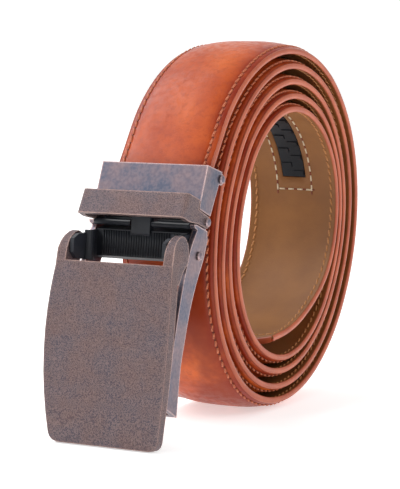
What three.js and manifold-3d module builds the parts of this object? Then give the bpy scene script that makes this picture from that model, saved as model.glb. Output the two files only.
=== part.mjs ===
// Ratchet belt: a padded leather strap wound into a standing coil, held by its cut end in a
// riveted clamp, with the buckle hanging in front of the coil.
// Millimetres, +Z up. The strap is wound about the X axis, and the buckle faces -Y.

import * as THREE from 'three';
import { mergeVertices } from 'three/addons/utils/BufferGeometryUtils.js';
import Module from 'manifold-3d';

const wasm = await Module();
wasm.setup();

// Strap
const strap_width = 36.6;
const strap_edge = 2.2;          // thickness at the painted edges
const strap_dome = 2.4;          // how far the padded face stands above its edges
const strap_cup = 1.8;           // how far the lining is drawn in under the dome
const dome_power = 3;            // flat in the middle, falling off near the edges
const lining_wall = 1.0;
const seam_gap = 0.2;
const turn_clearance = 0.4;

// Coil
const coil_height = 129.8;       // between the middles of the outer turn, top to bottom
const loose_lay = 5;             // the widest usual slack between two turns
const coil_start = 150;          // degrees up from the back, where the strap leaves the clamp
const coil_end = -1549;          // degrees, where the free tail ends
const lead_length = 6.7;         // from the coil to the mouth of the clamp
const lead_tilt = 34;            // degrees from upright

// Where the outer turn runs, and how slack each turn inside it lies. turn_1 is a share of half
// the coil's height, measured from its centre. gap_2 to gap_5 are shares of loose_lay.
const coil_lay = [
  { toward: 150, turn_1: 0.974, gap_2: 1.08, gap_3: 0.67, gap_4: 0.33, gap_5: 0.38 },
  { toward: 120, turn_1: 0.991, gap_2: 0.86, gap_3: 0.54, gap_4: 0.41, gap_5: 0.37 },
  { toward: 90, turn_1: 1.000, gap_2: 0.45, gap_3: 0.50, gap_4: 0.42, gap_5: 0.33 },
  { toward: 60, turn_1: 0.983, gap_2: 0.42, gap_3: 0.45, gap_4: 0.26, gap_5: 0.23 },
  { toward: 30, turn_1: 0.926, gap_2: 0.43, gap_3: 0.51, gap_4: 0.04, gap_5: 0.00 },
  { toward: 0, turn_1: 0.863, gap_2: 0.45, gap_3: 0.40, gap_4: 0.00, gap_5: 0.00 },
  { toward: -30, turn_1: 0.843, gap_2: 0.46, gap_3: 0.37, gap_4: 0.00, gap_5: 0.20 },
  { toward: -60, turn_1: 0.881, gap_2: 0.32, gap_3: 0.48, gap_4: 0.00, gap_5: 1.10 },
  { toward: -90, turn_1: 0.949, gap_2: 0.34, gap_3: 0.45, gap_4: 0.24, gap_5: 1.30 },
  { toward: -120, turn_1: 0.980, gap_2: 0.42, gap_3: 0.53, gap_4: 0.53, gap_5: 0.20 },
  { toward: -150, turn_1: 0.928, gap_2: 0.43, gap_3: 0.53, gap_4: 0.60, gap_5: 0.20 },
  { toward: -180, turn_1: 0.858, gap_2: 0.59, gap_3: 0.32, gap_4: 0.50, gap_5: 0.20 },
];
const full_turns = ['gap_2', 'gap_3', 'gap_4', 'gap_5'];

// Ratchet track in the lining
const track_width = 9.4;
const track_clearance = 0.3;
const notch_pitch = 6.35;
const notch_count = 24;
const track_from_tip = 87;       // bare lining between the track and the free end
const track_base = 0.6;
const rung_rise = 0.4;
const rung_length = 1.8;
const rung_width_share = 0.44;   // of the track's width, so that two columns fit side by side

// Buckle as a whole
const buckle_width = 41.8;
const side_wall = 1.8;
const fit_gap = 0.3;
const buckle_tilt = 30;          // degrees from upright, lower end forward
const pin_spacing = 12.2;        // hinge pin to lever pin
const jaw_pin_rise = 17.0;       // jaw pin above the hinge pin
const pin_radius = 1.1;
const head_radius = 1.6;
const head_height = 0.9;

// Clamp
const clamp_top = -18.4;         // its mouth, above the hinge pin
const clamp_front_top = 9.0;     // its face in front of the pins, at the mouth
const clamp_front_foot = 7.4;
const clamp_back = -1.1;
const clamp_slant = 2.4;         // the mouth is that much higher at the back
const clamp_foot_front = -1.8;   // its lower edge, above the hinge pin
const clamp_foot_back = -2.8;
const clamp_bevel = 2.8;
const clamp_plate = 1.5;
const jaw_pin_set_back = 1.6;
const jaw_boss = 2.1;
const strap_set_back = 1.9;      // middle of the strap in front of the pins
const strap_stop = -5.4;
const jaw_wall = 1.2;
const jaw_teeth = 4;
const tooth_rise = 0.7;
const hinge_ear = 2.4;

// Loop bar
const bar_reach = 15.9;          // its face in front of the hinge pin
const bar_top = -3.4;
const bar_height = 9.0;
const bar_wall = 1.9;
const bar_corner = 1.5;
const arm_set = 8.0;             // where the arms turn down in front of the clamp
const ear_foot_front = 3.3;
const ear_foot_back = 2.1;
const arm_dip = 1.2;             // the arms start that much higher than the bar
const ear_wall = 0.7;
const ear_step = 6.2;            // the arm grows thick in front of here
const knuckle_radius = 2.1;      // of the thin ears and tabs about the hinge pin
const slit = 0.4;

// Side frame
const rail_length = 63;
const rail_width = 8;
const rail_nose = 7.4;           // foremost point of the rails' upper ends
const tab_wall = 0.8;
const tab_sink = 1.5;            // how far the tabs go down into the rails
const foot_bar_height = 4;
const rail_lay = [
  { along: 0.040, front: 0.585, back: -0.42 },
  { along: 0.095, front: 0.640, back: -0.48 },
  { along: 0.165, front: 0.690, back: -0.52 },
  { along: 0.300, front: 0.580, back: -0.47 },
  { along: 0.450, front: 0.380, back: -0.55 },
  { along: 0.600, front: 0.130, back: -0.76 },
  { along: 0.750, front: -0.170, back: -1.01 },
  { along: 0.880, front: -0.500, back: -1.38 },
  { along: 1.000, front: -0.780, back: -1.74 },
];

// Strap guides: black plates on the hinge pin, with a gap between them for the tongue
const guide_gap = 8.6;
const guide_wall = 1.1;
const guide_lip = 6.6;           // the lip's middle, in front of the hinge pin
const guide_drop = 4.6;          // and below it
const lip_radius = 1.0;

// Cover with its two ears
const cover_tilt = 7.5;          // degrees from upright as it stands
const cover_reach = 20.6;        // its upper edge in front of the lever pin
const cover_drop = 4.0;          // and below it
const cover_bow = 2.4;           // how far the plate's middle stands out before its ends
const cover_top_width = 45.5;
const cover_foot_width = 42.4;
const cover_swell = 2.2;         // each side bulges that much in the middle
const cover_plate = 1.8;
const cover_rim = 1.6;
const cover_chamfer = 0.7;
const cover_depth_top = 4.3;
const cover_depth_foot = 3.2;
const cover_corner = 3;
const ear_rise = 6.2;            // ears above the lever pin
const ear_back = 9.7;            // back of the ears in front of the lever pin
const ear_taper = 1.3;

// The ears' outline from the cover's top edge up, over and back down. forward is a share of the
// way from the ears' back to the cover's face, and rise a share of their height above the pin.
const ear_shape = [
  { forward: 0.98, rise: -1.37 }, { forward: 0.99, rise: -0.65 }, { forward: 0.96, rise: -0.26 },
  { forward: 0.93, rise: 0.03 }, { forward: 0.84, rise: 0.39 }, { forward: 0.70, rise: 0.68 },
  { forward: 0.50, rise: 0.90 }, { forward: 0.32, rise: 1.00 }, { forward: 0.12, rise: 0.90 },
  { forward: 0.01, rise: 0.55 }, { forward: 0.00, rise: 0.08 }, { forward: 0.05, rise: -0.45 },
  { forward: 0.36, rise: -0.98 }, { forward: 0.49, rise: -1.34 }, { forward: 0.62, rise: -1.65 },
  { forward: 1.02, rise: -1.65 },
];

// Black lever housing behind the cover
const block_depth = 6;
const block_front = 3.6;         // in front of the lever pin
const block_rise = 7.4;          // above the lever pin, in front
const block_rise_back = 9.0;
const block_drop = 2.6;
const cheek_wall = 1.5;
const cheek_reach = 18.6;
const pillar_reach = 9.4;        // the round pillars in front of the lever pin
const pillar_radius = 1.7;
const pillar_drop = 3.4;
const collar_height = 1.2;
const tongue_width = 7.4;
const tongue_wall = 1.9;
const tongue_rise = 13.2;        // tip above the lever pin

const rad = THREE.MathUtils.degToRad;
const strap_nest = strap_edge + strap_dome - strap_cup + turn_clearance;
const half_width = buckle_width / 2;
const inner_face = half_width - side_wall;

// Geometry to and from solids
function solid(geometry) {
  const bare = geometry.clone();
  bare.deleteAttribute('normal');
  bare.deleteAttribute('uv');
  const merged = mergeVertices(bare, 1e-4);
  return new wasm.Manifold(new wasm.Mesh({
    numProp: 3,
    vertProperties: new Float32Array(merged.attributes.position.array),
    triVerts: new Uint32Array(merged.index.array),
  }));
}

function geometryOf(body) {
  const mesh = body.getMesh();
  const geometry = new THREE.BufferGeometry();
  geometry.setAttribute('position', new THREE.BufferAttribute(mesh.vertProperties, 3));
  geometry.setIndex(new THREE.BufferAttribute(mesh.triVerts, 1));
  geometry.computeVertexNormals();
  return geometry;
}

// A side view given in (Y, Z), drawn out along X between two distances
function acrossX(shape, from, to, segments = 5) {
  const geometry = new THREE.ExtrudeGeometry(shape, {
    depth: to - from, bevelEnabled: false, curveSegments: segments,
  });
  geometry.translate(0, 0, from);
  const turn = new THREE.Matrix4().makeBasis(
    new THREE.Vector3(0, 1, 0), new THREE.Vector3(0, 0, 1), new THREE.Vector3(1, 0, 0));
  return solid(geometry.applyMatrix4(turn));
}

// The same on both sides of the middle plane
function bothSides(shape, from, to, segments = 5) {
  return acrossX(shape, from, to, segments).add(acrossX(shape, -to, -from, segments));
}

function outline(points) {
  return new THREE.Shape(points);
}

function circleHole(centre, radius) {
  const hole = new THREE.Path();
  hole.absarc(centre.x, centre.y, radius, 0, Math.PI * 2, true);
  return hole;
}

// Strap path: a straight stretch in the clamp, then the coil
const lay_columns = (turn) => full_turns.slice(0, turn);
const row_step = 360 / coil_lay.length;

function layRadius(index) {
  const rows = coil_lay.length;
  const turn = Math.min(Math.floor(index / rows), full_turns.length);
  const row = coil_lay[index % rows];
  let radius = row.turn_1 * coil_height / 2;
  for (const column of lay_columns(turn)) radius -= strap_nest + row[column] * loose_lay;
  return radius;
}

const lay_count = coil_lay.length * (full_turns.length + 1);

function coilRadius(angle) {
  const place = (coil_start - angle) / row_step;
  const before = Math.floor(place);
  const share = place - before;
  const value = (i) => layRadius(Math.min(Math.max(i, 0), lay_count - 1));
  const [a, b, c, d] = [-1, 0, 1, 2].map((k) => value(before + k));
  return b + share * (c - a + share * (2 * a - 5 * b + 4 * c - d + share * (3 * (b - c) + d - a))) / 2;
}

function coilPoint(angle) {
  const radius = coilRadius(angle);
  return new THREE.Vector3(0, radius * Math.cos(rad(angle)), radius * Math.sin(rad(angle)));
}

const down = new THREE.Vector2(-Math.sin(rad(buckle_tilt)), -Math.cos(rad(buckle_tilt)));
const out = new THREE.Vector2(-Math.cos(rad(buckle_tilt)), Math.sin(rad(buckle_tilt)));
const coil_first = coilPoint(coil_start);
const mouth = new THREE.Vector2(
  coil_first.y - lead_length * Math.sin(rad(lead_tilt)),
  coil_first.z - lead_length * Math.cos(rad(lead_tilt)));
const hinge_pin_at = mouth.clone()
  .addScaledVector(out, -strap_set_back)
  .addScaledVector(down, -(clamp_top - clamp_slant / 2));

// A point of the buckle: so far out in front of the pins, so far down from the hinge pin
function at(forward, below) {
  return hinge_pin_at.clone().addScaledVector(out, forward).addScaledVector(down, below);
}

function strapPath() {
  const points = [];
  const tail_in_clamp = strap_stop - clamp_top;
  for (const share of [1, 0.5, 0]) {
    const p = at(strap_set_back, clamp_top + share * tail_in_clamp);
    points.push(new THREE.Vector3(0, p.x, p.y));
  }
  const steps = Math.round((coil_start - coil_end) / (row_step / 2));
  for (let i = 0; i <= steps; i += 1) {
    points.push(coilPoint(coil_start + (coil_end - coil_start) * i / steps));
  }
  const path = new THREE.CatmullRomCurve3(points, false, 'centripetal');
  path.arcLengthDivisions = 3000;
  return path;
}

const strap_path = strapPath();
const strap_length = strap_path.getLength();
const strap_steps = 168;

class Stretch extends THREE.Curve {
  constructor(from, to) {
    super();
    this.from = from;
    this.to = to;
  }

  getPoint(t, target = new THREE.Vector3()) {
    return strap_path.getPointAt((this.from + t * (this.to - this.from)) / strap_length, target);
  }
}

// Strap section: x across, y away from the coil's centre
const across = [-1, -0.62, 0, 0.62, 1];
const bulge = (share) => 1 - Math.abs(share) ** dome_power;
const lining_face = (share) => -strap_edge / 2 + strap_cup * bulge(share);
const outer_face = (share) => strap_edge / 2 + strap_dome * bulge(share);

function band(lower, upper) {
  const half = strap_width / 2;
  const bottom = across.map((s) => new THREE.Vector2(s * half, lower(s)));
  const top = across.map((s) => new THREE.Vector2(s * half, upper(s))).reverse();
  return outline([...bottom, ...top]);
}

function along(shape, path, steps) {
  return new THREE.ExtrudeGeometry(shape, { steps, bevelEnabled: false, extrudePath: path });
}

function strapOuter() {
  const section = band((s) => lining_face(s) + lining_wall + seam_gap, outer_face);
  return solid(along(section, strap_path, strap_steps));
}

const track_length = notch_pitch * notch_count;
const track_end = strap_length - track_from_tip;
const track_start = track_end - track_length;

function rectangle(width, low, high, middle = 0) {
  return outline([
    new THREE.Vector2(middle - width / 2, low), new THREE.Vector2(middle + width / 2, low),
    new THREE.Vector2(middle + width / 2, high), new THREE.Vector2(middle - width / 2, high),
  ]);
}

function strapLining() {
  const section = band(lining_face, (s) => lining_face(s) + lining_wall);
  const layer = solid(along(section, strap_path, strap_steps));
  const window_cut = rectangle(
    track_width + 2 * track_clearance, lining_face(0) - 2 * lining_wall, lining_face(0) + 2 * lining_wall);
  const cut_path = new Stretch(track_start - track_clearance, track_end + track_clearance);
  return layer.subtract(solid(along(window_cut, cut_path, notch_count)));
}

function ratchetTrack() {
  const floor = lining_face(0);
  const top = floor + track_base;
  const base = rectangle(track_width, floor, top);
  let track = solid(along(base, new Stretch(track_start, track_end), notch_count));
  const rung_width = rung_width_share * track_width;
  for (let i = 0; i < notch_count; i += 1) {
    for (const side of [-1, 1]) {
      const shift = side > 0 ? 0.25 : 0.75;
      const middle = track_start + (i + shift) * notch_pitch;
      const rung = rectangle(rung_width, floor - rung_rise, floor + track_base / 2,
        side * (track_width / 4 - 0.1));
      const place = new Stretch(middle - rung_length / 2, middle + rung_length / 2);
      track = track.add(solid(along(rung, place, 1)));
    }
  }
  return track;
}

// Pins lie along X. A rivet has a domed head at each end
function pinGeometry(radius, reach, heads) {
  const side = [new THREE.Vector2(0, -reach)];
  if (heads) {
    const seat = half_width + fit_gap;
    const dome = [0, 0.5, 0.87].map((s) => new THREE.Vector2(
      head_radius * Math.sqrt(1 - (1 - s) ** 2), -(seat + head_height * (1 - s * 0.9))));
    side.length = 0;
    side.push(new THREE.Vector2(0, -(seat + head_height)));
    side.push(...dome.slice(1));
    side.push(new THREE.Vector2(head_radius, -seat), new THREE.Vector2(radius, -seat));
  } else {
    side.push(new THREE.Vector2(radius, -reach));
  }
  const mirrored = side.slice().reverse().map((p) => new THREE.Vector2(p.x, -p.y));
  const lathe = new THREE.LatheGeometry([...side, ...mirrored], 12);
  return lathe.rotateZ(-Math.PI / 2);
}

function pinAt(place, radius, heads = true, reach = half_width) {
  const geometry = pinGeometry(radius, reach, heads);
  geometry.translate(0, place.x, place.y);
  return solid(geometry);
}

const jaw_pin_at = at(-jaw_pin_set_back, -jaw_pin_rise);
const lever_pin_at = at(-0.6, pin_spacing);
const bore = pin_radius + fit_gap;

// A round end about a pin, and on towards two further points
function roundEnd(centre, radius, from, ...points) {
  const shape = new THREE.Shape();
  const turned = Math.atan2(out.y, out.x) + from;
  shape.absarc(centre.x, centre.y, radius, turned, turned + Math.PI, false);
  for (const p of points) shape.lineTo(p.x, p.y);
  return shape;
}

function disc(centre, radius) {
  const shape = new THREE.Shape();
  shape.absarc(centre.x, centre.y, radius, 0, Math.PI * 2, false);
  return shape;
}

// Clamp: folded front plate with two sides, a web across the bottom and two ears for the pin
const top_front = clamp_top + clamp_slant / 2;
const top_back = clamp_top - clamp_slant / 2;

function clampBox() {
  const side = outline([
    at(clamp_back, clamp_foot_back), at(clamp_back, top_back), at(clamp_front_top, top_front),
    at(clamp_front_foot, clamp_foot_front - clamp_bevel), at(clamp_front_foot - 0.5, clamp_foot_front),
  ]);
  let box = bothSides(side, inner_face, half_width);
  box = box.add(bothSides(disc(jaw_pin_at, jaw_boss), inner_face, half_width));
  const plate = outline([
    at(clamp_front_top, top_front), at(clamp_front_foot, clamp_foot_front - clamp_bevel),
    at(clamp_front_foot - 0.5, clamp_foot_front), at(clamp_front_foot - clamp_plate, clamp_foot_front - 0.2),
    at(clamp_front_foot - clamp_plate, clamp_foot_front - clamp_bevel),
    at(clamp_front_top - clamp_plate, top_front - 0.35),
  ]);
  box = box.add(acrossX(plate, -half_width, half_width));
  const web = outline([
    at(clamp_back, clamp_foot_back), at(clamp_back, clamp_foot_back - clamp_plate),
    at(clamp_front_foot - 1, clamp_foot_front - clamp_plate), at(clamp_front_foot - 1, clamp_foot_front),
  ]);
  box = box.add(acrossX(web, -half_width, half_width));
  const ear = roundEnd(hinge_pin_at, hinge_ear, 0,
    at(-hinge_ear, clamp_foot_back - clamp_plate), at(hinge_ear, clamp_foot_back - clamp_plate));
  const ear_out = inner_face - fit_gap;
  box = box.add(bothSides(ear, ear_out - cheek_wall, ear_out));
  box = box.subtract(pinAt(hinge_pin_at, bore, false, half_width));
  return box.subtract(pinAt(jaw_pin_at, bore, false, half_width + 1));
}

// Jaw: a toothed flap on its own pin, closed on the strap's lining
function clampJaw() {
  const width = inner_face - fit_gap;
  const foot = strap_stop;
  const front = strap_set_back - strap_edge / 2 - fit_gap - tooth_rise;
  const flap = outline([
    at(front - jaw_wall, -jaw_pin_rise), at(front, -jaw_pin_rise), at(front, foot),
    at(front - jaw_wall, foot),
  ]);
  let jaw = acrossX(disc(jaw_pin_at, bore + 0.4), -width, width).add(acrossX(flap, -width, width));
  const pitch = (jaw_pin_rise + foot - bore - 1) / jaw_teeth;
  for (let i = 0; i < jaw_teeth; i += 1) {
    const below = foot - i * pitch;
    const tooth = outline([
      at(front - jaw_wall / 2, below), at(front + tooth_rise, below - pitch * 0.45),
      at(front - jaw_wall / 2, below - pitch * 0.9),
    ]);
    jaw = jaw.add(acrossX(tooth, -width, width));
  }
  return jaw.subtract(pinAt(jaw_pin_at, bore, false, half_width));
}

// A view along the buckle given in (X, out), drawn downwards between two heights
function downBuckle(shape, from, to, segments) {
  const geometry = new THREE.ExtrudeGeometry(shape, {
    depth: to - from, bevelEnabled: false, curveSegments: segments,
  });
  geometry.translate(0, 0, from);
  const turn = new THREE.Matrix4().makeBasis(
    new THREE.Vector3(1, 0, 0), new THREE.Vector3(0, out.x, out.y), new THREE.Vector3(0, down.x, down.y));
  geometry.applyMatrix4(turn);
  geometry.translate(0, hinge_pin_at.x, hinge_pin_at.y);
  return solid(geometry);
}

// Loop bar: the front bar with rounded corners, its two arms, and a thin ear at each end
function loopBar() {
  const bar_foot = bar_top + bar_height;
  const ear_top = clamp_foot_front + slit;
  const bend = new THREE.Shape();
  bend.moveTo(-half_width, 0);
  bend.lineTo(-inner_face, 0);
  bend.lineTo(-inner_face, bar_reach - bar_wall);
  bend.lineTo(inner_face, bar_reach - bar_wall);
  bend.lineTo(inner_face, 0);
  bend.lineTo(half_width, 0);
  bend.lineTo(half_width, bar_reach - bar_corner);
  bend.quadraticCurveTo(half_width, bar_reach, half_width - bar_corner, bar_reach);
  bend.lineTo(bar_corner - half_width, bar_reach);
  bend.quadraticCurveTo(-half_width, bar_reach, -half_width, bar_reach - bar_corner);
  const side = outline([
    at(bar_reach + 1, bar_top), at(bar_reach, bar_top), at(arm_set + 0.3, bar_top - arm_dip),
    at(arm_set, bar_top - arm_dip), at(clamp_front_foot, ear_top), at(ear_step, ear_top - 0.1),
    at(ear_step, ear_foot_front), at(rail_nose, ear_foot_front + 0.5), at(11.2, bar_foot - 0.6),
    at(bar_reach - bar_wall, bar_foot - 0.3),
    at(bar_reach, bar_foot), at(bar_reach + 1, bar_foot),
  ]);
  let body = downBuckle(bend, -8, 8, 4).intersect(acrossX(side, -half_width - 1, half_width + 1));
  const ear = roundEnd(hinge_pin_at, knuckle_radius, Math.PI / 2,
    at(0, clamp_foot_back + slit + 0.3), at(ear_step + 0.1, ear_top - 0.1),
    at(ear_step + 0.1, ear_foot_front),
    at(0, ear_foot_back));
  body = body.add(bothSides(ear, half_width - ear_wall, half_width));
  return body.subtract(pinAt(hinge_pin_at, bore, false, half_width + 1));
}

// Side frame: two curved rails with thin tabs up to the hinge pin, and a bar across the foot
const rail_top = ear_foot_back + slit;

function railPoint(row, edge) {
  return at(row[edge] * rail_width, rail_top + row.along * rail_length);
}

function railCurve(edge) {
  const points = rail_lay.map((row) => railPoint(row, edge));
  return new THREE.SplineCurve(points).getPoints(16);
}

function sideFrame() {
  const front = railCurve('front');
  const back = railCurve('back').reverse();
  const nose = at(rail_nose, ear_foot_front + slit + 0.6);
  const rail = outline([
    at(-0.2 * rail_width, rail_top), at(ear_step, ear_foot_front + slit), nose,
    at(rail_nose - 0.9, ear_foot_front + slit + 1.4), ...front, ...back,
  ]);
  rail.holes.push(circleHole(lever_pin_at, bore));
  let frame = bothSides(rail, inner_face, half_width);
  const tab = roundEnd(hinge_pin_at, knuckle_radius, Math.PI,
    at(knuckle_radius, rail_top + tab_sink), at(-knuckle_radius, rail_top + tab_sink));
  frame = frame.add(bothSides(tab, inner_face, inner_face + tab_wall));
  const heel = rail_lay[rail_lay.length - 1].back * rail_width;
  const low = rail_top + rail_length;
  const foot = outline([
    at(heel, low), at(heel + 1, low - foot_bar_height),
    at(heel + 1 + side_wall, low - foot_bar_height),
    at(heel + side_wall, low),
  ]);
  frame = frame.add(acrossX(foot, -inner_face - 0.2, inner_face + 0.2));
  return frame.subtract(pinAt(hinge_pin_at, bore, false, half_width + 1));
}

// Strap guide: a sleeve on the hinge pin with a shelf in front of it that ends in a round lip
function strapGuide(side) {
  const inner = guide_gap / 2;
  const sleeve_end = inner_face - 2 * fit_gap - cheek_wall;
  const shelf_end = inner_face - fit_gap;
  const draw = (shape, end) => (side > 0 ? acrossX(shape, inner, end) : acrossX(shape, -end, -inner));
  const shelf_start = hinge_ear + 2 * fit_gap;
  const shelf_top = 1.2;
  const shelf = outline([
    at(shelf_start, shelf_top), at(shelf_start, shelf_top + guide_wall),
    at(guide_lip, guide_drop + guide_wall / 2),
    at(guide_lip, guide_drop - guide_wall / 2),
  ]);
  const bridge = outline([
    at(1.2, 0.3), at(1.2, 0.3 + guide_wall), at(shelf_start + 0.5, shelf_top + guide_wall),
    at(shelf_start + 0.5, shelf_top),
  ]);
  let guide = draw(disc(hinge_pin_at, bore + 0.8), sleeve_end).add(draw(bridge, sleeve_end));
  guide = guide.add(draw(shelf, shelf_end)).add(draw(disc(at(guide_lip, guide_drop), lip_radius), shelf_end));
  return guide.subtract(pinAt(hinge_pin_at, bore, false, half_width));
}

// Cover and lever housing: measured out from the lever pin and down along the cover
const cover_down = new THREE.Vector2(-Math.sin(rad(cover_tilt)), -Math.cos(rad(cover_tilt)));
const cover_out = new THREE.Vector2(-Math.cos(rad(cover_tilt)), Math.sin(rad(cover_tilt)));

function onCover(forward, below) {
  return lever_pin_at.clone().addScaledVector(cover_out, forward).addScaledVector(cover_down, below);
}

// From (X, out from the lever pin, down the cover) to the group's axes
function placeOnCover(geometry) {
  const turn = new THREE.Matrix4().makeBasis(
    new THREE.Vector3(1, 0, 0), new THREE.Vector3(0, cover_out.x, cover_out.y),
    new THREE.Vector3(0, cover_down.x, cover_down.y));
  geometry.applyMatrix4(turn);
  geometry.translate(0, lever_pin_at.x, lever_pin_at.y);
  return solid(geometry);
}

// The cover is as long as it takes to stand on the surface under the coil
const floor_level = Math.min(...strap_path.getSpacedPoints(strap_steps).map((p) => p.z)) - outer_face(0);
const foot_back = onCover(cover_reach - cover_depth_foot, cover_drop);
const cover_length = (foot_back.y - floor_level) / Math.cos(rad(cover_tilt));

const cover_stations = [0, 0.07, 0.16, 0.27, 0.38, 0.5, 0.62, 0.73, 0.84, 0.92];
const corner_stations = [1, 0.55, 0.2, 0].map((share) => 1 - share * cover_corner / cover_length);
const all_stations = [...cover_stations, ...corner_stations];

function halfWidthAt(share) {
  const straight = cover_top_width + (cover_foot_width - cover_top_width) * share;
  const into_corner = Math.max(0, 1 - (1 - share) * cover_length / cover_corner);
  const rounded = cover_corner * (1 - Math.sqrt(1 - into_corner ** 2));
  return straight / 2 + cover_swell * 4 * share * (1 - share) - rounded;
}

const bowAt = (share) => cover_bow * 4 * share * (1 - share);
const depthAt = (share) => cover_depth_top + (cover_depth_foot - cover_depth_top) * share;

// A section drawn down the cover: its sides follow the swell and its face follows the bow
function coverRun(section, first, last) {
  const stations = all_stations.filter((share) => share >= first && share <= last);
  const steps = stations.length - 1;
  const geometry = new THREE.ExtrudeGeometry(section, { depth: 1, steps, bevelEnabled: false });
  const place = geometry.attributes.position;
  for (let i = 0; i < place.count; i += 1) {
    const share = stations[Math.round(place.getZ(i) * steps)];
    const x = place.getX(i);
    const deep = place.getY(i) < -cover_plate - 0.01 ? cover_depth_top - depthAt(share) : 0;
    const wide = Math.sign(x) * (halfWidthAt(share) - cover_top_width / 2);
    place.setXYZ(i, x + wide, cover_reach + place.getY(i) + bowAt(share) + deep,
      cover_drop + share * cover_length);
  }
  return placeOnCover(geometry);
}

function coverSection(hollow) {
  const half = cover_top_width / 2;
  const left = [
    new THREE.Vector2(-half, -cover_depth_top), new THREE.Vector2(-half, -cover_chamfer),
    new THREE.Vector2(-half + 0.3 * cover_chamfer, -0.3 * cover_chamfer),
    new THREE.Vector2(-half + cover_chamfer, 0),
  ];
  const right = left.map((p) => new THREE.Vector2(-p.x, p.y)).reverse();
  const inside = half - cover_rim;
  const cavity = [
    new THREE.Vector2(inside, -cover_depth_top), new THREE.Vector2(inside, -cover_plate),
    new THREE.Vector2(-inside, -cover_plate), new THREE.Vector2(-inside, -cover_depth_top),
  ];
  return outline(hollow ? [...left, ...right, ...cavity] : [...left, ...right]);
}

function cover() {
  const run = coverRun(coverSection(true), 0, 1);
  const foot = coverRun(coverSection(false), 1 - 0.56 * cover_corner / cover_length, 1);
  const ear = outline(ear_shape.map((row) => onCover(
    ear_back + row.forward * (cover_reach - ear_back), -row.rise * ear_rise)));
  const wide = cover_top_width / 2;
  let ears = bothSides(ear, inner_face, wide + 1);
  const taper = new THREE.Shape();
  taper.moveTo(-wide, 0.5);
  taper.lineTo(-wide + ear_taper * 0.3, -2.6);
  taper.lineTo(-wide + ear_taper, -ear_rise - 1);
  taper.lineTo(wide - ear_taper, -ear_rise - 1);
  taper.lineTo(wide - ear_taper * 0.3, -2.6);
  taper.lineTo(wide, 0.5);
  taper.lineTo(wide, cover_drop);
  taper.lineTo(wide + 0.6, 11);
  taper.lineTo(-wide - 0.6, 11);
  taper.lineTo(-wide, cover_drop);
  const face_on = new THREE.ExtrudeGeometry(taper, { depth: cover_reach + 2, bevelEnabled: false });
  const turn = new THREE.Matrix4().makeBasis(
    new THREE.Vector3(-1, 0, 0), new THREE.Vector3(0, 0, 1), new THREE.Vector3(0, 1, 0));
  ears = ears.intersect(placeOnCover(face_on.applyMatrix4(turn)));
  return run.add(foot).add(ears);
}

// Black housing: a ribbed block on the lever pin, cheeks inside the cover's ears, round pillars
// in front of the block's ends, and the tongue
function leverHousing() {
  const cheek_out = inner_face - fit_gap;
  const cheek_in = cheek_out - cheek_wall;
  const back = block_front - block_depth;
  const block = outline([
    onCover(block_front, -block_rise), onCover(back + 1.2, -block_rise_back),
    onCover(back, -block_rise_back + 0.6),
    onCover(back, block_drop - 1.5), onCover(block_front - 1.5, block_drop),
    onCover(block_front, block_drop - 0.8),
  ]);
  const cheek = outline([
    onCover(cheek_reach, -3.4), onCover(15.6, -ear_rise + 1.1), onCover(10.5, -ear_rise + 0.6),
    onCover(block_front - 2, -block_rise), onCover(back, -block_rise + 1.5),
    onCover(back, block_drop - 1.5), onCover(block_front - 1.5, block_drop + 0.4),
    onCover(pillar_reach, pillar_drop), onCover(cheek_reach - 2.4, 3.4), onCover(cheek_reach, 1.4),
  ]);
  const tongue = outline([
    onCover(block_front, -block_rise + 2), onCover(block_front + 0.9, -block_rise + 0.9),
    onCover(block_front + 0.9, -tongue_rise), onCover(block_front + 0.9 - tongue_wall, -tongue_rise),
    onCover(block_front - tongue_wall, -block_rise + 2),
  ]);
  let body = acrossX(block, -cheek_in - 0.5, cheek_in + 0.5);
  body = body.add(bothSides(cheek, cheek_in, cheek_out));
  body = body.add(acrossX(tongue, -tongue_width / 2, tongue_width / 2));
  const pillar_top = block_rise - 0.8;
  const pillar_sides = 14;
  for (const side of [-1, 1]) {
    const post = new THREE.CylinderGeometry(
      pillar_radius, pillar_radius, pillar_top + pillar_drop, pillar_sides);
    post.rotateX(Math.PI / 2);
    post.translate(side * (cheek_in - 0.2), pillar_reach, (pillar_drop - pillar_top) / 2);
    const collar = new THREE.CylinderGeometry(
      pillar_radius + 0.4, pillar_radius + 0.2, collar_height, pillar_sides);
    collar.rotateX(Math.PI / 2);
    collar.translate(side * (cheek_in - 0.2), pillar_reach, pillar_drop - 0.4);
    body = body.add(placeOnCover(post)).add(placeOnCover(collar));
  }
  const length = 2 * (cheek_reach + tongue_rise);
  body = body.intersect(placeOnCover(new THREE.BoxGeometry(2 * cheek_out, length, length)));
  return body.subtract(pinAt(lever_pin_at, bore, false, half_width));
}

// Finishes
const finishes = {
  leather: { color: 0xb4532a, roughness: 0.45, metalness: 0 },
  lining: { color: 0x8c5f3c, roughness: 0.7, metalness: 0 },
  track: { color: 0x15181e, roughness: 0.5, metalness: 0 },
  gunmetal: { color: 0x77757f, roughness: 0.38, metalness: 1 },
  antique_copper: { color: 0x80706d, roughness: 0.5, metalness: 1 },
  black_metal: { color: 0x1c1e24, roughness: 0.45, metalness: 0.4 },
};

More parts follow.
